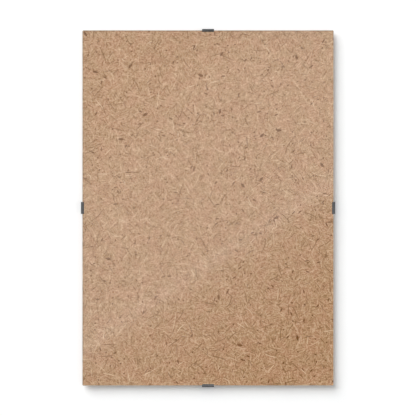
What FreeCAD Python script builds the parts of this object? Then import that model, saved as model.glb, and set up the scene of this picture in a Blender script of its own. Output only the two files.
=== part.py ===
import FreeCAD, Part
import math
import os
import Sketcher

# Clip frame: a pane of float glass and a hardboard back of the same size, held together
# by four formed spring-steel clips, one at the middle of each side.
# Millimetres. +Z is up, the glass faces -Y and the wall is the plane y = 0.
# The origin is where the frame hangs on its nail: the centre of the top clip's round
# hole, on the clip's rear face.

# Driving dimensions: name, value and what it measures
SIZES = [
    ("paneWidth", 210.0, "glass and board, side to side"),
    ("paneHeight", 297.0, "glass and board, bottom to top"),
    ("glassThickness", 2.0, "float glass"),
    ("glassArris", 0.4, "flat ground along each edge of the glass"),
    ("printGap", 0.15, "room for one sheet of photo paper behind the glass"),
    ("boardThickness", 3.0, "hardboard"),
    ("boardEase", 0.2, "sawn edge of the board, broken with sandpaper"),
    ("slotSetback", 30.0, "edge of the board to the middle of a slot"),
    ("slotDepth", 1.8, "blind slot, from the back of the board"),
    ("slotClearance", 1.25, "slot wall to the flat of the tail, on each side"),
    ("slotEndClearance", 0.6, "slot's straight part to the edge of the tail, at each end"),
    ("clipThickness", 0.5, "spring strip"),
    ("clipWidth", 10.0, "spring strip"),
    ("edgeClearance", 0.75, "edge of the pane to the clip's web"),
    ("standOff", 2.5, "clip's land to the back of the board, room for a nail's head"),
    ("lipReach", 1.3, "lip, from the pane's edge inwards"),
    ("lipDip", 20.0, "degrees the lip slopes down to the glass"),
    ("lipClearance", 0.05, "tip of the lip to the glass"),
    ("frontBendRadius", 0.5, "inside of the bend round the front of the glass"),
    ("heelBendRadius", 1.0, "inside of the bend behind the board's edge"),
    ("landBendRadius", 1.75, "inside of the bends at both ends of the land"),
    ("tailBendRadius", 0.75, "inside of the bend at the slot"),
    ("tailClearance", 0.5, "tip of the tail to the bottom of the slot"),
    ("tailCornerRadius", 0.7, "corners of the tail's tip"),
    ("shoulderDepth", 1.5, "strip cut away on each side, so that the tail enters the slot"),
    ("shoulderRise", 2.5, "middle of the tail to the shoulders where it narrows"),
    ("shoulderRadius", 0.8, "inner corners of the shoulders"),
    ("lipCornerRadius", 0.5, "corners of the lip's tip"),
    ("holeSetback", 12.0, "edge of the pane to the centre of the hanging hole"),
    ("holeRadius", 2.5, "round part of the keyhole, which passes a nail's head"),
    ("neckRadius", 1.1, "half the width of the keyhole's neck, which holds the nail"),
    ("neckRise", 4.0, "centre of the hole to the centre of the neck's round end"),
    ("landRim", 2.0, "land left beyond each end of the keyhole"),
    ("cutOverrun", 1.0, "how far a cutting profile runs past the metal"),
]

# The sides of the pane, each a quarter turn from the one before
SIDES = ["top", "right", "bottom", "left"]

# Depths from the wall, as formulas of the sheet's cells. The front lies towards -Y.
BOARD_BACK = "(-Sizes.clipThickness - Sizes.standOff)"
BOARD_FRONT = f"({BOARD_BACK} - Sizes.boardThickness)"
PANE_BACK = f"({BOARD_FRONT} - Sizes.printGap)"
PANE_FRONT = f"({PANE_BACK} - Sizes.glassThickness)"
PANE_CENTRE = "(Sizes.holeSetback - Sizes.paneHeight / 2)"

# The middle line of a clip's strip, seen from the side with the hanging hole at 0, 0.
# Its first coordinate is depth, its second height, and the pane's edge is above.
HALF_STRIP = "(Sizes.clipThickness / 2)"
FRONT_LINE = f"(Sizes.frontBendRadius + {HALF_STRIP})"
HEEL_LINE = f"(Sizes.heelBendRadius + {HALF_STRIP})"
LAND_LINE = f"(Sizes.landBendRadius + {HALF_STRIP})"
TAIL_LINE = f"(Sizes.tailBendRadius + {HALF_STRIP})"
WEB_HEIGHT = f"(Sizes.holeSetback + Sizes.edgeClearance + {HALF_STRIP})"
LAND_TOP = "(Sizes.neckRise + Sizes.neckRadius + Sizes.landRim)"
LAND_BOTTOM = "(-Sizes.holeRadius - Sizes.landRim)"
TAIL_HEIGHT = "(Sizes.holeSetback - Sizes.slotSetback)"
TAIL_TIP = f"({BOARD_BACK} - Sizes.slotDepth + Sizes.tailClearance)"
LIP_END_DEPTH = f"({PANE_FRONT} - Sizes.lipClearance - {HALF_STRIP} * cos(Sizes.lipDip))"
LIP_END_HEIGHT = f"(Sizes.holeSetback - Sizes.lipReach + {HALF_STRIP} * sin(Sizes.lipDip))"
FRONT_HEIGHT = f"({WEB_HEIGHT} - {FRONT_LINE})"
LIP_DROP = f"({FRONT_HEIGHT} - {FRONT_LINE} * sin(Sizes.lipDip) - {LIP_END_HEIGHT})"
FRONT_DEPTH = (
    f"({LIP_END_DEPTH} + {FRONT_LINE} * cos(Sizes.lipDip) - {LIP_DROP} * tan(Sizes.lipDip))"
)
SHOULDER_HEIGHT = f"({TAIL_HEIGHT} + Sizes.shoulderRise)"
TAIL_WIDTH = "(Sizes.clipWidth - 2 * Sizes.shoulderDepth)"

# The bends in order from the tail to the lip: depth and height of the centre, and radius
BENDS = [
    (BOARD_BACK, f"({TAIL_HEIGHT} + {TAIL_LINE})", TAIL_LINE),
    (f"(-{HALF_STRIP} - {LAND_LINE})", LAND_BOTTOM, LAND_LINE),
    (f"(-{HALF_STRIP} - {LAND_LINE})", LAND_TOP, LAND_LINE),
    (BOARD_BACK, f"({WEB_HEIGHT} - {HEEL_LINE})", HEEL_LINE),
    (FRONT_DEPTH, FRONT_HEIGHT, FRONT_LINE),
]

# A slot's length and width follow the tail that enters it
SLOT_WIDTH = "(Sizes.clipThickness + 2 * Sizes.slotClearance)"
SLOT_STRAIGHT = f"({TAIL_WIDTH} + 2 * Sizes.slotEndClearance)"

# A sketch numbers the points of a curve in this order
CURVE_POINTS = ["edge", "start", "end", "centre"]
START = CURVE_POINTS.index("start")
END = CURVE_POINTS.index("end")
CENTRE = CURVE_POINTS.index("centre")

# Two points closer than this share of the strip's thickness are the same
CLOSE_SHARE = 1e-3


def make_sheet(doc):
    """The table of driving dimensions, one named cell each."""
    sheet = doc.addObject("Spreadsheet::Sheet", "Sizes")
    for row, (name, value, meaning) in enumerate(SIZES, 1):
        sheet.set(f"A{row}", name)
        sheet.set(f"B{row}", str(value))
        sheet.set(f"C{row}", meaning)
        sheet.setAlias(f"B{row}", name)
    doc.recompute()
    return sheet


def value(doc, formula):
    """The present value of a formula of the sheet's cells."""
    return float(doc.Sizes.evalExpression(formula))


def make_body(doc, label):
    """One sub-part, whose label names its file."""
    body = doc.addObject("PartDesign::Body", label)
    body.Label = label
    return body


def origin_plane(body, role):
    """The body's own origin plane of that role."""
    return next(item for item in body.Origin.OriginFeatures if item.Role == role)


def make_sketch(body, name, role):
    """An empty sketch on one of the body's origin planes."""
    sketch = body.newObject("Sketcher::SketchObject", name)
    sketch.AttachmentSupport = [(origin_plane(body, role), "")]
    sketch.MapMode = "FlatFace"
    return sketch


def drive(sketch, kind, places, formula):
    """A driving constraint, bound to a formula of the sheet's cells."""
    size = value(sketch.Document, formula)
    index = sketch.addConstraint(Sketcher.Constraint(kind, *places, size))
    sketch.setExpression(f"Constraints[{index}]", formula)


def join(sketch, kind, *places):
    """A geometric constraint, such as a tangent end or a shared point."""
    sketch.addConstraint(Sketcher.Constraint(kind, *places))


def point(across, up):
    return FreeCAD.Vector(across, up, 0)


def draw_line(sketch, first, last):
    return sketch.addGeometry(Part.LineSegment(point(*first), point(*last)))


def draw_arc(sketch, centre, radius, start, end):
    """An arc drawn counter-clockwise from start to end, both in radians."""
    circle = Part.Circle(point(*centre), FreeCAD.Vector(0, 0, 1), radius)
    return sketch.addGeometry(Part.ArcOfCircle(circle, start, end))


def draw_rectangle(sketch, left, bottom, right, top):
    """A rectangle whose four sides are placed by formulas."""
    doc = sketch.Document
    low = (value(doc, left), value(doc, bottom))
    high = (value(doc, right), value(doc, top))
    corners = [low, (high[0], low[1]), high, (low[0], high[1])]
    sides = [
        draw_line(sketch, corner, following)
        for corner, following in zip(corners, corners[1:] + corners[:1])
    ]
    for side, following in zip(sides, sides[1:] + sides[:1]):
        join(sketch, "Coincident", side, END, following, START)
    for side, kind in zip(sides, ["Horizontal", "Vertical"] * 2):
        join(sketch, kind, side)
    drive(sketch, "DistanceX", (sides[0], START), left)
    drive(sketch, "DistanceY", (sides[0], START), bottom)
    drive(sketch, "DistanceX", (sides[2], START), right)
    drive(sketch, "DistanceY", (sides[2], START), top)


def draw_slot(sketch, first, last, radius):
    """A slot with round ends: first and last are the centres of its ends, as formulas."""
    doc = sketch.Document
    start = [value(doc, formula) for formula in first]
    end = [value(doc, formula) for formula in last]
    size = value(doc, radius)
    heading = math.atan2(end[1] - start[1], end[0] - start[0])
    side = (-math.sin(heading) * size, math.cos(heading) * size)
    quarter = math.pi / 2
    near = draw_arc(sketch, start, size, heading + quarter, heading + quarter + math.pi)
    far = draw_arc(sketch, end, size, heading - quarter, heading + quarter)
    right = draw_line(
        sketch, (start[0] - side[0], start[1] - side[1]), (end[0] - side[0], end[1] - side[1])
    )
    left = draw_line(
        sketch, (end[0] + side[0], end[1] + side[1]), (start[0] + side[0], start[1] + side[1])
    )
    join(sketch, "Tangent", near, END, right, START)
    join(sketch, "Tangent", right, END, far, START)
    join(sketch, "Tangent", far, END, left, START)
    join(sketch, "Tangent", left, END, near, START)
    join(sketch, "Equal", near, far)
    drive(sketch, "Radius", (near,), radius)
    for arc, place in ((near, first), (far, last)):
        drive(sketch, "DistanceX", (arc, CENTRE), place[0])
        drive(sketch, "DistanceY", (arc, CENTRE), place[1])


def edge_names(feature, keep):
    """The names of the feature's edges that keep() chooses."""
    edges = enumerate(feature.Shape.Edges, 1)
    return [f"Edge{number}" for number, edge in edges if keep(edge)]


def dress(body, kind, name, edges, size, formula):
    """A fillet or chamfer on the body's last feature, its size bound to the sheet."""
    base = body.Tip
    feature = body.newObject(f"PartDesign::{kind}", name)
    feature.Base = (base, edges)
    feature.setExpression(size, formula)
    body.Document.recompute()
    return feature


def cut(body, sketch, name, depth=None):
    """A pocket into the material in front of the sketch, or right through the body."""
    before = body.Shape.Volume
    pocket = body.newObject("PartDesign::Pocket", name)
    pocket.Profile = sketch
    if depth is None:
        pocket.Type = "ThroughAll"
        pocket.Midplane = True
    else:
        pocket.Type = "Length"
        pocket.Reversed = True
        pocket.setExpression("Length", depth)
    body.Document.recompute()
    report_cut(name, before, body.Shape.Volume)
    return pocket


def mirror(body, feature, name, role):
    """The feature again, on the other side of one of the body's origin planes."""
    before = body.Shape.Volume
    copy = body.newObject("PartDesign::Mirrored", name)
    copy.Originals = [feature]
    copy.MirrorPlane = (origin_plane(body, role), [""])
    body.Tip = copy
    body.Document.recompute()
    report_cut(name, before, body.Shape.Volume)
    return copy


def report_cut(name, before, after):
    """A cut that points away from the metal takes nothing out, so it is measured."""
    if before - after <= 0:
        raise ValueError(f"{name} cut nothing")
    print(f"{name}: {before - after:.3f} mm3 cut")


def make_sheet_blank(doc, label, thickness, back):
    """A flat sheet of the pane's size, standing upright with its back at the given depth."""
    body = make_body(doc, label)
    outline = make_sketch(body, f"{label}_outline", "XZ_Plane")
    draw_rectangle(
        outline,
        "-Sizes.paneWidth / 2",
        "-Sizes.paneHeight / 2",
        "Sizes.paneWidth / 2",
        "Sizes.paneHeight / 2",
    )
    sheet = body.newObject("PartDesign::Pad", f"{label}_sheet")
    sheet.Profile = outline
    sheet.setExpression("Length", thickness)
    body.setExpression("Placement.Base.y", back)
    body.setExpression("Placement.Base.z", PANE_CENTRE)
    doc.recompute()
    return body


def make_glass_pane(doc):
    """The pane of float glass, with every edge ground to a narrow arris."""
    body = make_sheet_blank(doc, "glass_pane", "Sizes.glassThickness", PANE_BACK)
    every_edge = edge_names(body.Tip, lambda edge: True)
    dress(body, "Chamfer", "ground_arris", every_edge, "Size", "Sizes.glassArris")
    return body


def make_backing_board(doc):
    """The hardboard back, with a blind slot near each edge for the tail of a clip."""
    body = make_sheet_blank(doc, "backing_board", "Sizes.boardThickness", BOARD_BACK)
    every_edge = edge_names(body.Tip, lambda edge: True)
    dress(body, "Chamfer", "eased_edges", every_edge, "Size", "Sizes.boardEase")
    half_run = f"{SLOT_STRAIGHT} / 2"
    from_top = "(Sizes.paneHeight / 2 - Sizes.slotSetback)"
    from_side = "(Sizes.paneWidth / 2 - Sizes.slotSetback)"
    level = make_sketch(body, "top_slot_outline", "XZ_Plane")
    draw_slot(level, (f"-{half_run}", from_top), (half_run, from_top), f"{SLOT_WIDTH} / 2")
    top_slot = cut(body, level, "top_slot", "Sizes.slotDepth")
    mirror(body, top_slot, "bottom_slot", "XY_Plane")
    upright = make_sketch(body, "right_slot_outline", "XZ_Plane")
    draw_slot(
        upright, (from_side, f"-{half_run}"), (from_side, half_run), f"{SLOT_WIDTH} / 2"
    )
    right_slot = cut(body, upright, "right_slot", "Sizes.slotDepth")
    mirror(body, right_slot, "left_slot", "YZ_Plane")
    return body


def straight_between(first, second):
    """The straight from one bend to the next, with both bends on its left.
    Its heading is the line of centres, turned by the difference of the two radii."""
    (depth_a, height_a, radius_a), (depth_b, height_b, radius_b) = first, second
    span = math.hypot(depth_b - depth_a, height_b - height_a)
    swell = radius_b - radius_a
    run = math.sqrt(span**2 - swell**2)
    heading = math.atan2(height_b - height_a, depth_b - depth_a) - math.atan2(swell, run)
    away = (math.sin(heading), -math.cos(heading))
    start = (depth_a + radius_a * away[0], height_a + radius_a * away[1])
    end = (depth_b + radius_b * away[0], height_b + radius_b * away[1])
    return heading, start, end


def draw_bend_line(sketch):
    """The middle line of the strip from its tail to its lip: straights joined by bends,
    each tangent to the next, and every bend to the same hand."""
    doc = sketch.Document
    bends = [tuple(value(doc, formula) for formula in bend) for bend in BENDS]
    tail = (value(doc, TAIL_TIP), value(doc, TAIL_HEIGHT), 0.0)
    lip = (value(doc, LIP_END_DEPTH), value(doc, LIP_END_HEIGHT), 0.0)
    stops = [tail, *bends, lip]
    runs = [straight_between(first, second) for first, second in zip(stops, stops[1:])]
    straights = [draw_line(sketch, start, end) for _, start, end in runs]
    for number, (bend, formulas) in enumerate(zip(bends, BENDS)):
        turn_from = runs[number][0] - math.pi / 2
        turn_to = runs[number + 1][0] - math.pi / 2
        if turn_to < turn_from:
            turn_to += 2 * math.pi
        arc = draw_arc(sketch, bend[:2], bend[2], turn_from, turn_to)
        join(sketch, "Tangent", straights[number], END, arc, START)
        join(sketch, "Tangent", arc, END, straights[number + 1], START)
        drive(sketch, "DistanceX", (arc, CENTRE), formulas[0])
        drive(sketch, "DistanceY", (arc, CENTRE), formulas[1])
        drive(sketch, "Radius", (arc,), formulas[2])
    join(sketch, "Horizontal", straights[0])
    drive(sketch, "DistanceX", (straights[0], START), TAIL_TIP)
    drive(sketch, "DistanceX", (straights[-1], END), LIP_END_DEPTH)
    drive(sketch, "DistanceY", (straights[-1], END), LIP_END_HEIGHT)


def draw_keyhole(sketch):
    """The hanging hole: a round that passes the nail's head, and a neck towards the
    pane's edge that holds its shank."""
    # In a sketch, -1 names the origin and -2 the upright axis
    doc = sketch.Document
    radius = value(doc, "Sizes.holeRadius")
    neck = value(doc, "Sizes.neckRadius")
    rise = value(doc, "Sizes.neckRise")
    gap = math.asin(neck / radius)
    quarter = math.pi / 2
    mouth = radius * math.cos(gap)
    hole = draw_arc(sketch, (0, 0), radius, quarter + gap, quarter - gap + 2 * math.pi)
    end = draw_arc(sketch, (0, rise), neck, 0, math.pi)
    right = draw_line(sketch, (neck, mouth), (neck, rise))
    left = draw_line(sketch, (-neck, rise), (-neck, mouth))
    join(sketch, "Coincident", hole, CENTRE, -1, START)
    join(sketch, "Coincident", hole, END, right, START)
    join(sketch, "Tangent", right, END, end, START)
    join(sketch, "Tangent", end, END, left, START)
    join(sketch, "Coincident", left, END, hole, START)
    join(sketch, "Vertical", right)
    join(sketch, "Vertical", left)
    join(sketch, "PointOnObject", end, CENTRE, -2)
    drive(sketch, "Radius", (hole,), "Sizes.holeRadius")
    drive(sketch, "Radius", (end,), "Sizes.neckRadius")
    drive(sketch, "DistanceY", (end, CENTRE), "Sizes.neckRise")


def roll_strip(body, label):
    """The flat strip carried along its bend line, from the tip of the tail."""
    bend_line = make_sketch(body, f"{label}_bend_line", "YZ_Plane")
    draw_bend_line(bend_line)
    section = make_sketch(body, f"{label}_section", "XZ_Plane")
    section.setExpression("AttachmentOffset.Base.z", f"-{TAIL_TIP}")
    draw_rectangle(
        section,
        "-Sizes.clipWidth / 2",
        f"{TAIL_HEIGHT} - {HALF_STRIP}",
        "Sizes.clipWidth / 2",
        f"{TAIL_HEIGHT} + {HALF_STRIP}",
    )
    strip = body.newObject("PartDesign::AdditivePipe", f"{label}_strip")
    strip.Profile = section
    strip.Spine = (bend_line, [])
    body.Document.recompute()
    doc = body.Document
    area = value(doc, "Sizes.clipThickness * Sizes.clipWidth")
    expected = bend_line.Shape.Length * area
    print(f"{label}: strip {strip.Shape.Volume:.3f} mm3, length times section {expected:.3f}")


def corner_edges(body, half_width, near):
    """The short edges through the strip's thickness, on both of its sides, whose ends
    are where near() says."""
    close = CLOSE_SHARE * value(body.Document, "Sizes.clipThickness")

    def keep(edge):
        ends = edge.Vertexes
        level = len(ends) == 2 and abs(ends[0].X - ends[1].X) < close
        return level and all(
            abs(abs(end.X) - half_width) < close and near(end, close) for end in ends
        )

    return edge_names(body.Tip, keep)


def narrow_tail(body, label):
    """A notch on each side of the tail, with rounded inner corners at the shoulders."""
    doc = body.Document
    notch = make_sketch(body, f"{label}_notch_outline", "XZ_Plane")
    draw_rectangle(
        notch,
        f"{TAIL_WIDTH} / 2",
        f"{TAIL_HEIGHT} - {HALF_STRIP} - Sizes.cutOverrun",
        "Sizes.clipWidth / 2 + Sizes.cutOverrun",
        SHOULDER_HEIGHT,
    )
    mirror(body, cut(body, notch, f"{label}_notch"), f"{label}_second_notch", "YZ_Plane")
    half_width = value(doc, f"{TAIL_WIDTH} / 2")
    shoulder = value(doc, SHOULDER_HEIGHT)
    tip = value(doc, TAIL_TIP)
    inner = corner_edges(body, half_width, lambda end, close: abs(end.Z - shoulder) < close)
    dress(body, "Fillet", f"{label}_shoulders", inner, "Radius", "Sizes.shoulderRadius")
    outer = corner_edges(body, half_width, lambda end, close: abs(end.Y - tip) < close)
    dress(body, "Fillet", f"{label}_tail_corners", outer, "Radius", "Sizes.tailCornerRadius")


def round_lip(body, label):
    """Small rounds on the two corners of the lip's tip."""
    doc = body.Document
    reach = value(doc, HALF_STRIP)
    half_width = value(doc, "Sizes.clipWidth / 2")
    depth = value(doc, LIP_END_DEPTH)
    height = value(doc, LIP_END_HEIGHT)

    def at_tip(end, close):
        return math.hypot(end.Y - depth, end.Z - height) < reach + close

    corners = corner_edges(body, half_width, at_tip)
    dress(body, "Fillet", f"{label}_lip_corners", corners, "Radius", "Sizes.lipCornerRadius")


def make_clip(doc, side):
    """One formed spring clip: tail, arm, land with its keyhole, heel, web and lip.
    It is formed as the top clip stands, and then turned to its own side."""
    label = f"clip_{side}"
    body = make_body(doc, label)
    roll_strip(body, label)
    narrow_tail(body, label)
    keyhole = make_sketch(body, f"{label}_keyhole_outline", "XZ_Plane")
    draw_keyhole(keyhole)
    cut(body, keyhole, f"{label}_keyhole")
    round_lip(body, label)
    turn = FreeCAD.Rotation(FreeCAD.Vector(0, 1, 0), 90 * SIDES.index(side))
    outwards = turn.multVec(FreeCAD.Vector(0, 0, 1))
    across = f"{round(outwards.x)} * (Sizes.paneWidth / 2 - Sizes.holeSetback)"
    upwards = f"{round(outwards.z)} * (Sizes.paneHeight / 2 - Sizes.holeSetback)"
    body.Placement = FreeCAD.Placement(FreeCAD.Vector(), turn)
    body.setExpression("Placement.Base.x", across)
    body.setExpression("Placement.Base.z", f"{PANE_CENTRE} + {upwards}")
    doc.recompute()
    return body


def check_document(doc, bodies):
    """Every object recomputed, every sketch fully constrained, every sub-part one solid."""
    for item in doc.Objects:
        if {"Invalid", "Error"} & set(item.State):
            raise ValueError(f"{item.Label} failed: {item.State}")
        if item.TypeId == "Sketcher::SketchObject" and not item.FullyConstrained:
            raise ValueError(f"{item.Label} is not fully constrained")
    for body in bodies:
        shape = body.Shape
        if shape.isNull() or not shape.isValid() or len(shape.Solids) != 1:
            raise ValueError(f"{body.Label} is not one valid solid")
        box = shape.BoundBox
        print(
            f"{body.Label}: volume {shape.Volume:.2f} mm3, x {box.XMin:.3f} to {box.XMax:.3f},"
            f" y {box.YMin:.3f} to {box.YMax:.3f}, z {box.ZMin:.3f} to {box.ZMax:.3f}"
        )


def write_parts(bodies):
    """One file for each sub-part, named by its label."""
    os.makedirs("parts", exist_ok=True)
    for body in bodies:
        body.Shape.exportStep(f"parts/{body.Label}.step")


def main():
    doc = FreeCAD.newDocument("clip_frame")
    make_sheet(doc)
    bodies = [make_glass_pane(doc), make_backing_board(doc)]
    for side in SIDES:
        bodies.append(make_clip(doc, side))
    doc.recompute()
    check_document(doc, bodies)
    write_parts(bodies)


main()
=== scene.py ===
# %% [markdown]
# # A clip frame, dressed
#
# The object is a frameless picture frame: a glass pane laid on a hardboard back and held by one
# spring clip at the middle of each side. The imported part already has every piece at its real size,
# so this lesson adds what a maker would call the finish: felted wood fibre, float glass and blued
# steel, the coarse fibre bundles that stand out on the board, and a white wall to photograph it on.
#
# The part's frame of reference is kept throughout: metres, +Z up, the viewer on the -Y side, the
# wall at y = 0 and the origin at the nail that the top clip hangs on.

import math

import bpy
import numpy as np
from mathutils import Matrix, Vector


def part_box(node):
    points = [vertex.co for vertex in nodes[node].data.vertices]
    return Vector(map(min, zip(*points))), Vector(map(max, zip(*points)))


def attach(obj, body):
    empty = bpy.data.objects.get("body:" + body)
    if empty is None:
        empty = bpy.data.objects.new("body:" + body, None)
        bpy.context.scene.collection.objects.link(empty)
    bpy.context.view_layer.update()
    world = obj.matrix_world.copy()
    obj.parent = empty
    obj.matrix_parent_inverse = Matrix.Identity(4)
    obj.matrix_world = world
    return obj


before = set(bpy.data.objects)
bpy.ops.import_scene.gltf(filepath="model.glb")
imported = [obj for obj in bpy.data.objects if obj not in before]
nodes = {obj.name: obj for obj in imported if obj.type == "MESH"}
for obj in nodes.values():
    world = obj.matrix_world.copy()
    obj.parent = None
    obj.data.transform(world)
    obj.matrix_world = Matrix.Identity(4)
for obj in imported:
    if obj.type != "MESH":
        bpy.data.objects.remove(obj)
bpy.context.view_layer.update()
scene = bpy.context.scene
print("pieces:", sorted(nodes))

# %% [markdown]
# Finishes are easier to judge in millimetres, the unit in which a board's fibres and a strip's
# thickness are known, so one name turns them into metres. Everything else is measured on the
# loaded pieces: the pane gives the outline that the board shares, and its middle is the point that
# the camera looks at.

# %% Measure the pieces
MM = 0.001

pane_low, pane_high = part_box("glass_pane")
board_low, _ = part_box("backing_board")
middle = (pane_low + pane_high) / 2
half_width = (pane_high.x - pane_low.x) / 2
half_height = (pane_high.z - pane_low.z) / 2
gap = board_low.y - pane_high.y
print(f"pane {half_width * 2 / MM:.1f} x {half_height * 2 / MM:.1f} mm, print gap {gap / MM:.2f} mm")

# %% [markdown]
# ## The camera
#
# The picture was taken square on and from far enough away that no side of the glass shows, so a
# long lens at a metre and a half does it. The lens follows from three things: how wide the pane is,
# how many pixels it takes up, and how wide the image is. The pane's middle falls on the image's
# middle, so the camera needs no shift.

# %% Set up the camera
IMAGE_PIXELS = 416
PANE_WIDTH_PIXELS = 251.2
CAMERA_DISTANCE = 1.5
SENSOR_WIDTH = 36.0

view_width = half_width * 2 * IMAGE_PIXELS / PANE_WIDTH_PIXELS
camera_data = bpy.data.cameras.new("camera")
camera_data.sensor_width = SENSOR_WIDTH
camera_data.lens = SENSOR_WIDTH * CAMERA_DISTANCE / view_width
camera = bpy.data.objects.new("camera", camera_data)
camera.location = (middle.x, pane_low.y - CAMERA_DISTANCE, middle.z)
camera.rotation_euler = (math.radians(90), 0, 0)
scene.collection.objects.link(camera)
scene.camera = camera
scene.view_settings.view_transform = "Standard"
print(f"lens {camera_data.lens:.1f} mm, view {view_width / MM:.1f} mm wide at the glass")

# %% [markdown]
# ## A shorthand for shader maths
#
# A finish is mostly arithmetic on a position: how far along a fibre a point lies, how near to an
# edge. Written as single Math nodes such sums are hard to read, so a small class wraps one output
# of a node, and adding or multiplying two of them adds the Math node. Every other kind of node
# comes from the one method `node`, which takes the node's type, its settings and its values.


# %% Wrap a node's output
class Link:
    """One output of a node, which can be used in sums like a number."""

    def __init__(self, finish, made, output=0):
        self.finish = finish
        self.made = made
        self.socket = made.outputs[output] if made.outputs else None

    def out(self, name):
        """Another output of the same node."""
        return Link(self.finish, self.made, name)

    def maths(self, operation, *terms):
        """A Math node on these terms."""
        return self.finish.node("ShaderNodeMath", {"operation": operation}, dict(enumerate(terms)))

    def __add__(self, other):
        return self.maths("ADD", self, other)

    def __radd__(self, other):
        return self.maths("ADD", other, self)

    def __sub__(self, other):
        return self.maths("SUBTRACT", self, other)

    def __rsub__(self, other):
        return self.maths("SUBTRACT", other, self)

    def __mul__(self, other):
        return self.maths("MULTIPLY", self, other)

    def __rmul__(self, other):
        return self.maths("MULTIPLY", other, self)

    def __abs__(self):
        return self.maths("ABSOLUTE", self)


# %% Add nodes to a finish
class Finish:
    """The node tree of a material or of the world, with the one method that adds a node to it."""

    def __init__(self, owner):
        owner.use_nodes = True
        self.owner = owner
        self.tree = owner.node_tree
        self.tree.nodes.clear()

    def node(self, kind, settings=None, values=None, output=0):
        made = self.tree.nodes.new(kind)
        for name, setting in (settings or {}).items():
            if name == "stops":
                self.set_stops(made.color_ramp.elements, setting)
            else:
                setattr(made, name, setting)
        for name, value in (values or {}).items():
            socket = made.inputs[name]
            if isinstance(value, Link):
                self.tree.links.new(value.socket, socket)
            elif socket.type == "RGBA":
                socket.default_value = (*value, 1.0)
            else:
                socket.default_value = value
        return Link(self, made, output)

    def set_stops(self, elements, stops):
        """Gives a colour ramp these stops, pairs of a position and a colour, lowest first."""
        elements[0].position = stops[0][0]
        elements[1].position = stops[-1][0]
        for position, _ in stops[1:-1]:
            elements.new(position)
        for element, (_, colour) in zip(elements, stops):
            element.color = (*colour, 1.0)


# %% [markdown]
# Four steps turn up in every finish, so each gets a name: a soft threshold, a noise, a blend of two
# colours and sums of vectors. Colours are written as a picture editor shows them, from 0 to
# 255, and `paint` turns them into the linear values that a shader works in.


# %% Name the steps that every finish uses
def paint(red, green, blue):
    """A picture editor's colour in the shader's linear scale."""
    shares = np.array([red, green, blue]) / 255
    linear = np.where(shares <= 0.04045, shares / 12.92, ((shares + 0.055) / 1.055) ** 2.4)
    return tuple(linear.tolist())


def rise(value, low, high):
    """0 below low, 1 above high, and an S-shaped climb between them."""
    values = {"Value": value, "From Min": low, "From Max": high}
    return value.finish.node("ShaderNodeMapRange", {"interpolation_type": "SMOOTHSTEP"}, values)


def noise(place, grain, detail=2.0, roughness=0.5):
    """A cloudy value around 0.5 whose lumps are about as large as grain."""
    values = {"Vector": place, "Scale": 1 / grain, "Detail": detail, "Roughness": roughness}
    return place.finish.node("ShaderNodeTexNoise", None, values)


def blend(share, first, second):
    """The first colour where share is 0, the second where it is 1."""
    factor, colour_a, colour_b, result = 0, 6, 7, 2
    values = {factor: share, colour_a: first, colour_b: second}
    return share.finish.node("ShaderNodeMix", {"data_type": "RGBA"}, values, result)


def vectors(operation, *terms):
    """A Vector Math node on these vectors, the first of them a link."""
    return terms[0].finish.node("ShaderNodeVectorMath", {"operation": operation}, dict(enumerate(terms)))


# %% [markdown]
# ## Hardboard
#
# Hardboard is wood boiled to a pulp, felted into a mat and pressed hot. Its face is a felt of fibres
# a few millimetres long that lie every way, with paler straw, darker bark and a few coarse strands
# among them. A cloudy noise alone looks like paper. What makes a felt is single short strokes, so
# the finish is built from layers of them.
#
# One layer cuts the sheet into Voronoi cells and draws one stroke in each. The cell's colour is a
# set of three chances, which give the stroke its direction, its bow and its tone. Layers of several
# sizes cross one another and hide the cells.


# %% Cut the sheet into cells
SLANT = 0.7


def cells(sheet, spacing, shift):
    """The place moved by shift, and the middle and three chances of the Voronoi cell it falls in."""
    moved = vectors("ADD", sheet, (shift, shift * SLANT, 0.0))
    values = {"Vector": moved, "Scale": 1 / spacing, "Randomness": 1.0}
    cell = sheet.finish.node("ShaderNodeTexVoronoi", {"voronoi_dimensions": "2D"}, values)
    chances = sheet.finish.node("ShaderNodeSeparateColor", None, {"Color": cell.out("Color")})
    return moved, cell.out("Position"), chances


def turned(place, chance):
    """The place turned in the plane of the sheet by chance times a full circle."""
    values = {"Vector": place, "Angle": chance * (2 * math.pi)}
    return place.finish.node("ShaderNodeVectorRotate", {"rotation_type": "Z_AXIS"}, values)


# %% Draw one layer of fibres
SOFT_EDGE = 0.12


def strokes(sheet, spacing, length, width, bow, shift):
    """A stroke in each cell: its mask, and a chance from 0 to 1 that stays the same along it.

    The place is measured from the cell's middle and turned by the cell's own angle, which gives how
    far along and how far across the stroke it lies. Taking the bend times the square of the first
    from the second bows the stroke: a bow of 1 moves its tips by up to a quarter of its length. Its
    half width shrinks from the middle to nothing at the tips, as 1 minus the square of the share of
    the half length, and the mask is 1 inside that.
    """
    moved, centre, chances = cells(sheet, spacing, shift)
    lain = turned(vectors("SUBTRACT", moved, centre), chances.out("Red"))
    parts = sheet.finish.node("ShaderNodeSeparateXYZ", None, {"Vector": lain})
    along = parts.out("X")
    bend = (chances.out("Green") - 0.5) * (2 * bow / length)
    across = parts.out("Y") - along * along * bend
    taper = 0.5 * width - along * along * (2 * width / length**2)
    soft = SOFT_EDGE * width
    return rise(taper - abs(across), -soft, soft), chances.out("Blue")


# %% [markdown]
# The felt is the sum of six such layers, from long coarse strokes to short fine ones, and each
# stroke is a little lighter or darker than the sheet. Each layer's cells are moved on by a step, so
# that no two layers share their cells.

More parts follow.
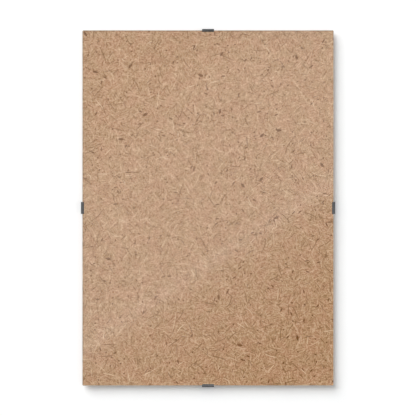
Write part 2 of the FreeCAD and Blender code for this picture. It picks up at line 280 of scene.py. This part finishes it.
# %% Lay the felt
FELT = (
    # spacing, length and width in mm, and how far the tone swings
    (5.0, 7.5, 0.75, 0.8),
    (4.2, 6.0, 0.70, 0.9),
    (3.4, 5.0, 0.65, 1.0),
    (2.8, 4.0, 0.62, 1.1),
    (2.2, 3.3, 0.60, 1.2),
    (1.6, 2.4, 0.60, 1.2),
)
FELT_BOW = 0.3
FELT_STEP = 53.0


def felt(sheet):
    """The sum of the felt's layers, about -1 to 1: each stroke is lighter or darker than the sheet."""
    total = 0.0
    for number, (spacing, length, width, swing) in enumerate(FELT):
        mask, chance = strokes(sheet, spacing, length, width, FELT_BOW, FELT_STEP * number)
        total = total + (chance - 0.5) * mask * (2 * swing)
    return total


print(len(FELT), "layers of felt")

# %% [markdown]
# Over the felt lie the things that the eye picks out: pale straws, dark hairs and flecks of bark. Of
# these only a share of the cells gets one, which keeps them from looking laid out. Half of those
# are drawn at full strength, and the others fainter.

# %% Scatter straws, hairs and flecks
# spacing, length and width in mm, and the share of the cells that gets one
STRAWS = ((8.0, 8.5, 0.80, 0.45), (13.0, 13.0, 0.95, 0.45))
HAIRS = ((7.0, 7.5, 0.80, 0.40), (14.0, 14.0, 0.95, 0.40))
FLECKS = ((5.6, 1.8, 1.15, 0.20), (10.0, 3.8, 1.15, 0.25), (22.0, 5.0, 2.10, 0.25))
SCATTER_STEP = 31.0
STRONG = 0.5


def scatter(sheet, layers, bow, start):
    """The strongest mask of several sparse layers, 0 where none of them has drawn."""
    total = 0.0
    for number, (spacing, length, width, share) in enumerate(layers):
        mask, chance = strokes(sheet, spacing, length, width, bow, start + SCATTER_STEP * number)
        drawn = mask * rise(chance, 1 - share, 1 - share * STRONG)
        total = drawn.maths("MAXIMUM", total, drawn)
    return total


# %% [markdown]
# Between the strokes run finer lines, the fibres too thin to be told apart. They are combed: within
# a patch they all run one way, and the next patch has its own.

# %% Comb fine lines
COMBED = (
    # patch, pitch and length in mm, and the shift
    (7.0, 1.0, 4.2, 800.0),
    (4.4, 0.85, 3.0, 900.0),
)


def combed(sheet, patch, pitch, length, shift):
    """Fine lines that run one way within each cell, about -1/2 to 1/2.

    The place is turned by the cell's own angle, as a stroke's is, and a noise is read from it whose
    lumps are pitch wide and length long.
    """
    moved, _, chances = cells(sheet, patch, shift)
    drawn_out = vectors("MULTIPLY", turned(moved, chances.out("Red")), (pitch / length, 1.0, 0.0))
    return noise(drawn_out, pitch, 0.0) - 0.5


# %% [markdown]
# The face's colour starts as one tone from brown over tan to straw, chosen by the felt, the combed
# lines and some slow clouds. It then leans towards rose in some places and ochre in others, as
# wood from several trees does. The scattered fibres come last, each in its own colour.
#
# Fibres don't lie dead straight, so the place is first pushed about a little by a noise.

# %% Choose the face's colours
TAN = paint(166, 128, 96)
STRAW = paint(198, 166, 138)
BROWN = paint(118, 79, 38)
BARK = paint(104, 60, 12)
TONES = ((0.0, BROWN), (0.5, TAN), (1.0, STRAW))
ROSE = paint(176, 125, 98)
OCHRE = paint(160, 131, 92)

# %% Choose how strongly each thing shows
DRIFT = 0.8
DRIFT_GRAIN = 6.0
CLOUD_GRAIN = 2.8
TINT_GRAIN = 11.0
TINT_FADE = (0.36, 0.64)
FELT_SWING = 0.19
CLOUD_SWING = 0.10
LINE_SWING = 0.85
TINT_SHARE = 0.15
TINT_SWING = 0.04
STRAW_SHARE = 0.55
HAIR_SHARE = 0.7
FLECK_SHARE = 0.95
# how far each stands out of the face, in mm
FELT_RISE = 0.03
CLOUD_RISE = 0.04
STRAW_RISE = 0.05
FLECK_RISE = -0.04


# %% Make the face
def make_face(sheet):
    """The felt's colour, its height in mm, and its strokes alone."""
    drift = vectors("SUBTRACT", noise(sheet, DRIFT_GRAIN).out("Color"), (0.5, 0.5, 0.5))
    bent = vectors("MULTIPLY_ADD", drift, (DRIFT, DRIFT, 0.0), sheet)
    fibres = felt(bent)
    straws = scatter(bent, STRAWS, bow=0.4, start=200.0)
    hairs = scatter(bent, HAIRS, bow=0.4, start=400.0)
    flecks = scatter(bent, FLECKS, bow=0.3, start=600.0)
    clouds = noise(sheet, CLOUD_GRAIN, 1.0) - 0.5
    lines = sum(combed(bent, *patch) for patch in COMBED)

    lightness = 0.5 + fibres * FELT_SWING + clouds * CLOUD_SWING + lines * LINE_SWING
    colour = sheet.finish.node("ShaderNodeValToRGB", {"stops": TONES}, {"Fac": lightness})
    tint = rise(noise(sheet, TINT_GRAIN, 2.0), *TINT_FADE)
    colour = blend(TINT_SHARE + tint * TINT_SWING, colour, blend(tint, OCHRE, ROSE))
    colour = blend(straws * STRAW_SHARE, colour, STRAW)
    colour = blend(hairs * HAIR_SHARE, colour, BROWN)
    colour = blend(flecks * FLECK_SHARE, colour, BARK)
    height = fibres * FELT_RISE + straws * STRAW_RISE + flecks * FLECK_RISE + clouds * CLOUD_RISE
    return colour, height, fibres


# %% [markdown]
# The board is one material for all its sides, told apart by position. The face has the felt. The
# back lay on a woven wire screen in the press and keeps its print, rows of small pits. The sawn
# edge shows the mat from the side, darker and in layers. A pattern that depends only on x and z
# would run straight through the board, so the place is shifted along x with depth, and the back
# gets other fibres than the face.

# %% Find a place on the board
DEPTH_SHIFT = 14.0


def board_place(finish):
    """The place on the sheet in mm, and how far across, how deep, how high and how far inside it is.

    All are measured from the pane's middle, and the last from the nearest edge of the outline.
    """
    place = finish.node("ShaderNodeTexCoord", output="Object")
    values = {"Vector": place, "Location": tuple(-middle / MM), "Scale": (1 / MM,) * 3}
    mapped = finish.node("ShaderNodeMapping", None, values)
    parts = finish.node("ShaderNodeSeparateXYZ", None, {"Vector": mapped})
    across, depth, up = parts.out("X"), parts.out("Y"), parts.out("Z")
    values = {"X": across + depth * DEPTH_SHIFT, "Y": up}
    sheet = finish.node("ShaderNodeCombineXYZ", None, values)
    beside = half_width / MM - abs(across)
    above = half_height / MM - abs(up)
    return sheet, across, depth, up, beside.maths("MINIMUM", beside, above)


# %% Make the sawn edge and the screen's print
SAWN = paint(98, 62, 42)
SAWN_FADE = (0.02, 0.3)
LAYER_THICKNESS = 0.35
LAYER_STRETCH = 0.15
BACK_FADE = (0.8, 1.6)
SCREEN_PITCH = 1.6
PIT_FADE = (-0.2, 0.9)
PIT_SHARE = 0.35


def make_layers(across, depth, up):
    """The mat's layers, seen from the side: their colour, and a noise that gives their height."""
    stretched = (across + up) * LAYER_STRETCH
    place = depth.finish.node("ShaderNodeCombineXYZ", None, {"X": stretched, "Y": depth})
    grain = noise(place, LAYER_THICKNESS, 3.0)
    return blend(grain, BROWN, SAWN), grain


def screen_print(across, up):
    """Pits at the pitch of the screen, 1 in each pit: the cosines across and up, multiplied."""
    wave = 2 * math.pi / SCREEN_PITCH
    weave = across.maths("COSINE", across * wave) * up.maths("COSINE", up * wave)
    return rise(weave, *PIT_FADE)


# %% Put the board's sides together
PIT_DEPTH = 0.16
SAWN_DEPTH = 0.15
FACE_DULLNESS = 0.75
SIDE_DULLNESS = 0.1
FIBRE_GLOSS = 0.05
SHEEN = 0.1


def make_hardboard():
    finish = Finish(bpy.data.materials.new("hardboard"))
    sheet, across, depth, up, inset = board_place(finish)
    behind_face = depth - (board_low.y - middle.y) / MM
    back = rise(behind_face, *BACK_FADE)
    sawn = 1 - rise(inset, *SAWN_FADE)
    pits = screen_print(across, up) * back

    colour, height, fibres = make_face(sheet)
    layer_colour, grain = make_layers(across, depth, up)
    colour = blend(sawn, colour, layer_colour)
    colour = blend(pits * PIT_SHARE, colour, BROWN)
    height = height - pits * PIT_DEPTH + sawn * grain * SAWN_DEPTH
    relief = finish.node("ShaderNodeBump", None, {"Height": height, "Distance": MM})

    dull = FACE_DULLNESS + (back + sawn) * SIDE_DULLNESS - fibres * FIBRE_GLOSS
    values = {"Base Color": colour, "Roughness": dull, "Normal": relief, "Specular IOR Level": SHEEN}
    skin = finish.node("ShaderNodeBsdfPrincipled", None, values)
    finish.node("ShaderNodeOutputMaterial", None, {"Surface": skin})
    return finish.owner


hardboard = make_hardboard()
print("hardboard nodes:", len(hardboard.node_tree.nodes))

# %% [markdown]
# ## Coarse fibre bundles
#
# Some strands were never pulped. They lie pressed into the face, a few hundredths of a millimetre
# proud, and catch the light from the side. They could be painted on, but strands that run for ten
# millimetres and cross each other would be cut off by the cells of the stroke layers. As real
# geometry they keep their length and their bow, and they have a shape in the exported meshes too.
#
# A strand is a flat ellipse carried along a bowed line. All strands are worked out together, as
# arrays with one row for each strand, one column for each step along it and one layer for each
# point round it.

# %% Grow the strands
STRANDS = 200
STEPS = 9
SIDES = 6
KEEP_CLEAR = 4.0
LENGTHS = (3.5, 11.0)
BOW = 0.5
HALF_WIDTHS = (0.15, 0.36)
HALF_THICKNESSES = (0.025, 0.05)


def strand_points(chance):
    """Every strand's points, rows of (steps, sides, 3), with its two tips.

    With s from 0 to 1 along a strand, its middle line is its centre plus (s - 1/2) times its length
    in its own direction, plus 4 (s - 1/2)^2 times its bow square to that. The half width and half
    thickness swell with the square root of sin(pi s), so both ends close. Round the line the angle
    a gives half width times cos a in the board's plane and half thickness times sin a out of it.
    """
    reach = np.array([half_width, half_height]) - KEEP_CLEAR * MM
    centre = chance.uniform(-reach, reach, (STRANDS, 2))
    turn = chance.uniform(0, 2 * np.pi, STRANDS)
    length = chance.uniform(*LENGTHS, STRANDS) * MM
    bow = chance.normal(0, BOW, STRANDS) * MM
    half = chance.uniform(*HALF_WIDTHS, STRANDS) * MM
    thick = chance.uniform(*HALF_THICKNESSES, STRANDS) * MM

    s = np.linspace(0, 1, STEPS + 2)[None, :]
    way = np.stack([np.cos(turn), np.sin(turn)], -1)[:, None, :]
    side = np.stack([-np.sin(turn), np.cos(turn)], -1)[:, None, :]
    lengthways = ((s - 0.5) * length[:, None])[..., None]
    sideways = (4 * (s - 0.5) ** 2 * bow[:, None])[..., None]
    line = centre[:, None, :] + lengthways * way + sideways * side

    swell = np.sqrt(np.sin(np.pi * s[:, 1:-1]))[..., None]
    a = np.linspace(0, 2 * np.pi, SIDES, endpoint=False)[None, None, :]
    out = half[:, None, None] * swell * np.cos(a)
    lift = thick[:, None, None] * swell * np.sin(a)
    flat = line[:, 1:-1, None, :] + out[..., None] * side[:, :, None, :]
    return flat, lift, line[:, [0, -1], :]


def strand_faces():
    """For every strand, quads between neighbouring rings and triangles from each end ring to its tip."""
    ring = np.arange(STEPS - 1)[:, None] * SIDES
    here = np.arange(SIDES)[None, :]
    ahead = (here + 1) % SIDES
    quads = np.stack([ring + here, ring + ahead, ring + SIDES + ahead, ring + SIDES + here], -1)
    first_tip = STEPS * SIDES
    last = (STEPS - 1) * SIDES
    start = np.stack([np.full(SIDES, first_tip), ahead[0], here[0]], -1)
    end = np.stack([np.full(SIDES, first_tip + 1), last + here[0], last + ahead[0]], -1)
    step = (np.arange(STRANDS) * (first_tip + 2))[:, None, None]
    quads = (quads.reshape(1, -1, 4) + step).reshape(-1, 4)
    fans = (np.concatenate([start, end])[None] + step).reshape(-1, 3)
    return quads.tolist() + fans.tolist()


# %% Put the strands into a mesh
SEED = 11


def make_strands():
    """The mesh of all strands: their rings on the board's face, and one tone for each strand."""
    chance = np.random.default_rng(SEED)
    flat, lift, tips = strand_points(chance)
    rings = np.stack([middle.x + flat[..., 0], board_low.y - lift, middle.z + flat[..., 1]], -1)
    level = np.full(tips.shape[:-1], board_low.y)
    ends = np.stack([middle.x + tips[..., 0], level, middle.z + tips[..., 1]], -1)
    points = np.concatenate([rings.reshape(STRANDS, -1, 3), ends], 1)
    mesh = bpy.data.meshes.new("fibre_bundles")
    mesh.from_pydata(points.reshape(-1, 3).tolist(), [], strand_faces())
    mesh.polygons.foreach_set("use_smooth", np.ones(len(mesh.polygons), bool))
    tone = mesh.attributes.new("tone", "FLOAT", "POINT")
    shade = np.repeat(chance.uniform(0, 1, STRANDS), points.shape[1])
    tone.data.foreach_set("value", shade.astype(np.float32))
    piece = bpy.data.objects.new("fibre_bundles", mesh)
    scene.collection.objects.link(piece)
    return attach(piece, "panel")


strands = make_strands()
print(f"{STRANDS} strands, {len(strands.data.polygons)} faces")

# %% [markdown]
# A strand has one tone from end to end, kept in the mesh as an attribute. Three in five are pale,
# and the others are brown like the bark they came from. Along its length a strand has a fine grain,
# which mixes some of the board's own tan into its colour.

# %% Choose the strands' colours
PALE = paint(206, 177, 147)
BARK_SHARE = 0.4
STRAND_GRAIN = 0.5
STRAND_RELIEF = 0.03
TAN_SHARE = 0.05
TAN_SWING = 0.35
STRAND_DULLNESS = 0.45
STRAND_DULL_SWING = 0.2


# %% Make the strands' finish
def make_strand_finish():
    finish = Finish(bpy.data.materials.new("fibre_bundles"))
    tone = finish.node("ShaderNodeAttribute", {"attribute_name": "tone"}, output="Fac")
    place = finish.node("ShaderNodeTexCoord", output="Object")
    grain = noise(place, STRAND_GRAIN * MM, 3.0)
    pale = rise(tone, BARK_SHARE - 0.02, BARK_SHARE + 0.02)
    colour = blend(pale, BARK, PALE)
    colour = blend(TAN_SHARE + grain * TAN_SWING, colour, TAN)
    values = {"Height": grain, "Distance": STRAND_RELIEF * MM}
    relief = finish.node("ShaderNodeBump", None, values)
    dull = STRAND_DULLNESS + grain * STRAND_DULL_SWING
    values = {"Base Color": colour, "Roughness": dull, "Normal": relief}
    skin = finish.node("ShaderNodeBsdfPrincipled", None, values)
    finish.node("ShaderNodeOutputMaterial", None, {"Surface": skin})
    return finish.owner


strands.data.materials.append(make_strand_finish())
print("strands dressed")

# %% [markdown]
# ## Float glass
#
# Two millimetres of float glass are clear from the front and green from the side, because there the
# light has come a long way through it. The green is painted on the rim only. The rim is ground, which
# scatters the light a little, and a fine bump on it gives that.
#
# Glass makes a lamp's light hard to trace, so rays that go from the board to a lamp see clear
# nothing in place of it. That is the Mix Shader on Is Shadow Ray.

# %% Choose the glass's tints
CLEAR = paint(253, 255, 254)
RIM_GREEN = paint(165, 208, 190)
LIGHT_THROUGH = (0.96, 0.97, 0.965)
RIM_FADE = (0.02, 0.35)
GRINDING_GRAIN = 0.2
GRINDING_DEPTH = 0.05
REFRACTION = 1.52


# %% Make the glass
def make_glass():
    finish = Finish(bpy.data.materials.new("float_glass"))
    inset = board_place(finish)[-1]
    rim = 1 - rise(inset, *RIM_FADE)
    place = finish.node("ShaderNodeTexCoord", output="Object")
    grinding = noise(place, GRINDING_GRAIN * MM, 2.0) * rim
    values = {"Height": grinding, "Distance": GRINDING_DEPTH * MM}
    relief = finish.node("ShaderNodeBump", None, values)
    values = {"Base Color": blend(rim, CLEAR, RIM_GREEN), "Normal": relief}
    values.update({"Roughness": 0.0, "IOR": REFRACTION, "Transmission Weight": 1.0})
    clear = finish.node("ShaderNodeBsdfPrincipled", None, values)
    path = finish.node("ShaderNodeLightPath", output="Is Shadow Ray")
    nothing = finish.node("ShaderNodeBsdfTransparent", None, {"Color": LIGHT_THROUGH})
    surface = finish.node("ShaderNodeMixShader", None, {0: path, 1: clear, 2: nothing})
    finish.node("ShaderNodeOutputMaterial", None, {"Surface": surface})
    return finish.owner


glass = make_glass()
print("glass nodes:", len(glass.node_tree.nodes))

# %% [markdown]
# ## Blued spring steel
#
# The clips are cut from rolled strip and heated in oil, which turns them nearly black with a cold
# blue cast. The strip keeps the fine lines of the rolls along its length. Along the crest of the front
# bend, where the strip stands out furthest, the colour is painted lighter: a painted highlight where
# the bend catches the light, together with bluing worn off by handling. Along the cut edges the
# colour is painted darker, as painted shade.
#
# All four clips get the same finish, turned to suit. A Mapping node of the Texture kind undoes the
# clip's own turn about the pane's middle, so on each of them z runs outwards and x across the strip.

# %% Set the steel's colours and sizes
BLUED = paint(57, 59, 61)
# lighter colour for the bend's crest: a painted highlight, and bluing worn off
WORN_AND_HIGHLIGHT = paint(108, 109, 109)
# darker colour: the oil's stains, and the painted shade along the cut edges
OILED_AND_SHADE = paint(47, 46, 46)
CLIP_TURNS = {"clip_top": 0, "clip_right": 90, "clip_bottom": 180, "clip_left": 270}
LINE_PITCH = 0.12
LINE_STRETCH = 0.03
LINE_DEPTH = 0.01
STAIN_GRAIN = 3.0
CREST_FADE = (0.05, 0.7)
EDGE_FADE = (0.02, 0.5)
# how strongly the crest gets the painted highlight and wear
CREST_HIGHLIGHT_AND_WEAR = 0.8
# how strongly the cut edges get the painted shade
EDGE_SHADE = 0.6
STAIN_FADE = (0.35, 0.65)
LINE_FADE = (0.25, 0.75)
STEEL_DULLNESS = 0.3
LINE_DULLNESS = 0.15
STAIN_DULLNESS = 0.1


# %% Find a place on a clip
def clip_place(finish, name, turn):
    """The place in mm with the clip's turn undone, and four distances from there.

    They are how far across and how far along the strip it is, how far behind the clip's front, and
    how far inside its cut edges.
    """
    place = finish.node("ShaderNodeTexCoord", output="Object")
    values = {"Vector": place, "Location": tuple(middle), "Rotation": (0.0, math.radians(turn), 0.0)}
    values["Scale"] = (MM, MM, MM)
    upright = finish.node("ShaderNodeMapping", {"vector_type": "TEXTURE"}, values)
    parts = finish.node("ShaderNodeSeparateXYZ", None, {"Vector": upright})
    across, depth, outwards = parts.out("X"), parts.out("Y"), parts.out("Z")
    clip_low, clip_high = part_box(name)
    behind_front = depth - (clip_low.y - middle.y) / MM
    half_strip = min(clip_high.x - clip_low.x, clip_high.z - clip_low.z) / 2 / MM
    return upright, across, outwards - depth, behind_front, half_strip - abs(across)


# %% Make the steel
def make_steel(name, turn):
    """Blued strip: the rolls' lines along it, painted highlight and wear at the bend's crest, painted
    shade at its cut edges.
    """
    finish = Finish(bpy.data.materials.new("blued_steel_" + name))
    upright, across, along, behind_front, inset = clip_place(finish, name, turn)
    rolled = finish.node("ShaderNodeCombineXYZ", None, {"X": across, "Y": along * LINE_STRETCH})
    lines = noise(rolled, LINE_PITCH, 3.0, 0.6)
    stains = noise(upright, STAIN_GRAIN, 3.0)
    crest = 1 - rise(behind_front, *CREST_FADE)
    shaded_cut_edge = 1 - rise(inset, *EDGE_FADE)

    colour = blend(rise(stains, *STAIN_FADE), BLUED, OILED_AND_SHADE)
    # Painted highlight and wear: lighter along the crest of the front bend, following the rolls' lines.
    colour = blend(crest * rise(lines, *LINE_FADE) * CREST_HIGHLIGHT_AND_WEAR, colour, WORN_AND_HIGHLIGHT)
    # Painted shade: darker along the cut edges of the strip.
    colour = blend(shaded_cut_edge * EDGE_SHADE, colour, OILED_AND_SHADE)
    values = {"Height": lines, "Distance": LINE_DEPTH * MM}
    relief = finish.node("ShaderNodeBump", None, values)
    dull = STEEL_DULLNESS + lines * LINE_DULLNESS + stains * STAIN_DULLNESS
    values = {"Base Color": colour, "Metallic": 1.0, "Roughness": dull, "Normal": relief}
    skin = finish.node("ShaderNodeBsdfPrincipled", None, values)
    finish.node("ShaderNodeOutputMaterial", None, {"Surface": skin})
    return finish.owner


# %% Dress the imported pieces
def dress(name, material):
    """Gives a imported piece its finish, in place of the plain one that it came with."""
    mesh = nodes[name].data
    mesh.materials.clear()
    mesh.materials.append(material)


dress("glass_pane", glass)
dress("backing_board", hardboard)
for clip, clip_turn in CLIP_TURNS.items():
    dress(clip, make_steel(clip, clip_turn))
print("dressed", len(nodes), "pieces")

# %% [markdown]
# ## The wall and the floor
#
# The frame hangs on a white wall, which takes its shadow, and the wall runs down into a pale floor
# in one curve, as a photographer's paper sweep does. It is a profile in the y-z plane, carried
# along x. Away from the frame the paper fades to plain white, so that no horizon shows. The camera
# sees it only from its front, and light passes it, so that the back of the frame can be looked at
# and is lit as the front is.

# %% Build the sweep
WALL_GAP = 0.5 * MM
SWEEP_WIDTH = 6.0
SWEEP_TOP = 2.0
SWEEP_RADIUS = 0.4
FLOOR_LEVEL = -1.2
FLOOR_FRONT = -4.0
BEND_STEPS = 17


def sweep_mesh():
    """The profile runs down the wall, round a quarter circle and out along the floor."""
    bend = np.linspace(0, np.pi / 2, BEND_STEPS)
    y = WALL_GAP - SWEEP_RADIUS * (1 - np.cos(bend))
    z = FLOOR_LEVEL + SWEEP_RADIUS * (1 - np.sin(bend))
    y = np.concatenate([[WALL_GAP], y, [FLOOR_FRONT]])
    z = np.concatenate([[SWEEP_TOP], z, [FLOOR_LEVEL]])
    x = np.array([-SWEEP_WIDTH, SWEEP_WIDTH]) / 2
    points = np.stack(np.broadcast_arrays(x[None, :], y[:, None], z[:, None]), -1).reshape(-1, 3)
    row = np.arange(len(y) - 1)[:, None] * 2
    faces = (row + np.array([[0, 2, 3, 1]])).tolist()
    mesh = bpy.data.meshes.new("sweep")
    mesh.from_pydata(points.tolist(), [], faces)
    mesh.polygons.foreach_set("use_smooth", np.ones(len(mesh.polygons), bool))
    return mesh


# %% Make its paper
PAPER = (0.98, 0.98, 0.98)
OWN_LIGHT = 0.13
WHITE = (1.0, 1.0, 1.0)
FADE_START = 1.1
FADE_END = 2.0


def make_paper():
    """Matt paper with a little light of its own, plain white away from the pane.

    The camera sees it, and so does light that has bounced before: a ray's matt bounces and its
    being on the way to a lamp count 1 each, and the paper is there from 2. To all other light, and
    from behind, it is clear.
    """
    finish = Finish(bpy.data.materials.new("white_paper"))
    matt = finish.node("ShaderNodeBsdfDiffuse", None, {"Color": PAPER})
    glow = finish.node("ShaderNodeEmission", None, {"Color": WHITE, "Strength": OWN_LIGHT})
    paper = finish.node("ShaderNodeAddShader", None, {0: matt, 1: glow})
    place = finish.node("ShaderNodeTexCoord", output="Object")
    away = vectors("DISTANCE", place, tuple(middle)).out("Value")
    white = finish.node("ShaderNodeEmission", None, {"Color": WHITE, "Strength": 1.0})
    faded = rise(away, FADE_START, FADE_END)
    paper = finish.node("ShaderNodeMixShader", None, {0: faded, 1: paper, 2: white})

    path = finish.node("ShaderNodeLightPath")
    bounces = path.out("Diffuse Depth") + path.out("Is Shadow Ray")
    later = bounces.maths("GREATER_THAN", bounces, 1.5)
    shown = later.maths("MAXIMUM", later, path.out("Is Camera Ray"))
    behind = finish.node("ShaderNodeNewGeometry", output="Backfacing")
    nothing = finish.node("ShaderNodeBsdfTransparent")
    surface = finish.node("ShaderNodeMixShader", None, {0: shown * (1 - behind), 1: nothing, 2: paper})
    finish.node("ShaderNodeOutputMaterial", None, {"Surface": surface})
    return finish.owner


sweep = bpy.data.objects.new("sweep", sweep_mesh())
sweep.data.materials.append(make_paper())
scene.collection.objects.link(sweep)
print("sweep", len(sweep.data.polygons), "faces")

# %% [markdown]
# ## Light
#
# The shadow tells how the picture was lit. It lies to the right and below, so the lamp stood to the
# left and above. It fades over about as far as the frame stands off the wall, so the lamp is nearly
# as large as it is far away. A weak lamp fills in from the right, a third stands behind the frame
# for the views from there, and the white room gives the rest.
#
# Each lamp is given the share that it adds to the brightness of a white card held square to it, and
# its power follows from that share and from its distance. The key lamp meets the board at a slant,
# and what it and the room add there comes to about 1, so a colour comes out as it was written.


# %% Hang the lamps
def hang_lamp(name, direction, distance, size, share):
    """A square soft box aimed at the pane's middle. Its power is share times pi^2 times distance^2.

    Neither the camera nor light that comes through the glass sees it.
    """
    data = bpy.data.lights.new(name, "AREA")
    data.size = size
    data.energy = share * math.pi**2 * distance**2
    lamp = bpy.data.objects.new(name, data)
    way = Vector(direction).normalized()
    lamp.location = middle + way * distance
    lamp.rotation_mode = "QUATERNION"
    lamp.rotation_quaternion = way.to_track_quat("Z", "Y")
    lamp.visible_camera = False
    lamp.visible_transmission = False
    scene.collection.objects.link(lamp)
    return lamp


key = hang_lamp("key", direction=(-0.76, -1.0, 0.98), distance=6.4, size=5.6, share=1.22)
hang_lamp("fill", direction=(0.5, -1.0, -0.1), distance=2.6, size=1.2, share=0.09)
hang_lamp("rear", direction=(0.5, 1.0, 0.6), distance=1.8, size=1.2, share=0.95)
print("key lamp", round(key.data.energy), "W")

# %% [markdown]
# In the picture the clips' lips leave no shadow on the fibre under the glass, though the frame leaves
# one on the wall. So the clips don't block the key lamp, which Blender calls shadow linking.

# %% Let the key lamp past the clips
unshaded = bpy.data.collections.new("past_the_clips")
for clip in CLIP_TURNS:
    unshaded.objects.link(nodes[clip])
for linked in unshaded.collection_objects:
    linked.light_linking.link_state = "EXCLUDE"
key.light_linking.blocker_collection = unshaded

# %% [markdown]
# The room is white to the camera and in reflections, and gives soft light from all around. What a
# ray sees of it is decided by the Light Path node: full white for the camera, for gloss and through
# glass, and the plain level of the fill light for everything else.

# %% Paint the room
ROOM_LIGHT = 0.24
ROOM_TINT = (0.98, 0.99, 1.0)


def make_room():
    """White where a ray that has not met anything matt looks at it, and a dim soft light otherwise."""
    world = bpy.data.worlds.new("room")
    scene.world = world
    finish = Finish(world)
    path = finish.node("ShaderNodeLightPath")
    seen = path.out("Is Camera Ray") + path.out("Is Glossy Ray") + path.out("Is Transmission Ray")
    unbounced = path.maths("LESS_THAN", path.out("Diffuse Depth"), 0.5)
    shown = seen.maths("MINIMUM", seen, 1.0) * unbounced
    soft = finish.node("ShaderNodeBackground", None, {"Color": ROOM_TINT, "Strength": ROOM_LIGHT})
    white = finish.node("ShaderNodeBackground", None, {"Color": WHITE, "Strength": 1.0})
    surface = finish.node("ShaderNodeMixShader", None, {0: shown, 1: soft, 2: white})
    finish.node("ShaderNodeOutputWorld", None, {"Surface": surface})


make_room()
print("room light", ROOM_LIGHT)

# %% [markdown]
# ## What the glass mirrors
#
# The only sign of the glass in the picture is a pale veil that stops along a slanting line: the
# lower edge of something bright behind the camera. A mirror doubles the distance, so a card placed
# behind the camera shows in the pane enlarged by the ratio of the two light paths. The line's ends
# are read off the picture and carried over to the card by that ratio. The camera and matt surfaces
# don't see the card, only the glass does, on its front and through it on its rear face. Nothing is
# painted on the glass, so the veil moves as a real one would when the camera does.

# %% Place the card
CARD_BEHIND_CAMERA = 0.4
PANE_MIDDLE_PIXEL = (207.95, 207.97)
VEIL_LEFT_PIXEL = (84.0, 347.0)
VEIL_RIGHT_PIXEL = (332.0, 180.0)
BRIGHT_LEFT_PIXEL = (84.0, 172.0)
BRIGHT_RIGHT_PIXEL = (204.0, 72.0)

pixel = view_width / IMAGE_PIXELS
card_distance = CAMERA_DISTANCE + CARD_BEHIND_CAMERA
card_scale = (CAMERA_DISTANCE + card_distance) / CAMERA_DISTANCE


def on_card(place):
    """The card's point, from its middle, that shows at a pixel of the picture."""
    x = (place[0] - PANE_MIDDLE_PIXEL[0]) * pixel * card_scale
    z = (PANE_MIDDLE_PIXEL[1] - place[1]) * pixel * card_scale
    return np.array([x, z])


def above_line(x, z, first, second):
    """How far a place on the card lies above the line through two of its points."""
    along = (second - first) / np.linalg.norm(second - first)
    normal = (float(-along[1]), float(along[0]))
    return x * normal[0] + z * normal[1] - float(first @ np.array(normal))


# %% [markdown]
# The veil isn't even. Towards its lower edge it dies off slowly and then at once, with a brighter
# seam along the edge. Beyond a second line, in the upper left of the picture, it gets weaker again.

# %% Light the card
FAINT = 0.12
CLIMBS = (
    # from and to in metres above the veil's edge, and the brightness that is added between them
    (-0.25, -0.02, 0.45),
    (-0.055, 0.004, 0.42),
    (-0.021, -0.005, 0.22),
    (0.003, 0.024, -0.22),
)
UPPER_FADE = (-0.09, 0.12)
UPPER_LOSS = 0.34


def make_card():
    """A card that glows as bright at each place as the sum of the climbs that lie below it."""
    finish = Finish(bpy.data.materials.new("reflected_card"))
    place = finish.node("ShaderNodeTexCoord", output="Object")
    parts = finish.node("ShaderNodeSeparateXYZ", None, {"Vector": place})
    x, z = parts.out("X"), parts.out("Z")
    lower = above_line(x, z, on_card(VEIL_LEFT_PIXEL), on_card(VEIL_RIGHT_PIXEL))
    upper = above_line(x, z, on_card(BRIGHT_LEFT_PIXEL), on_card(BRIGHT_RIGHT_PIXEL))
    climbed = sum(rise(lower, low, high) * step for low, high, step in CLIMBS)
    brightness = FAINT + climbed - rise(upper, *UPPER_FADE) * UPPER_LOSS
    glow = finish.node("ShaderNodeEmission", None, {"Color": brightness, "Strength": 1.0})
    finish.node("ShaderNodeOutputMaterial", None, {"Surface": glow})
    return finish.owner


# %% Put up the card
CARD_WIDTH = 0.9
CARD_HEIGHT = 1.1

corners = np.array([[-1, 0, -1], [-1, 0, 1], [1, 0, 1], [1, 0, -1]]) / 2
corners = corners * np.array([CARD_WIDTH, 0, CARD_HEIGHT])
card_mesh = bpy.data.meshes.new("card")
card_mesh.from_pydata(corners.tolist(), [], [[0, 1, 2, 3]])
card_mesh.materials.append(make_card())
card = bpy.data.objects.new("card", card_mesh)
card.location = (middle.x, pane_low.y - card_distance, middle.z)
card.visible_camera = False
card.visible_diffuse = False
card.visible_shadow = False
scene.collection.objects.link(card)
print(f"card {card_distance:.2f} m in front of the pane, seen {card_scale:.2f} times as large")
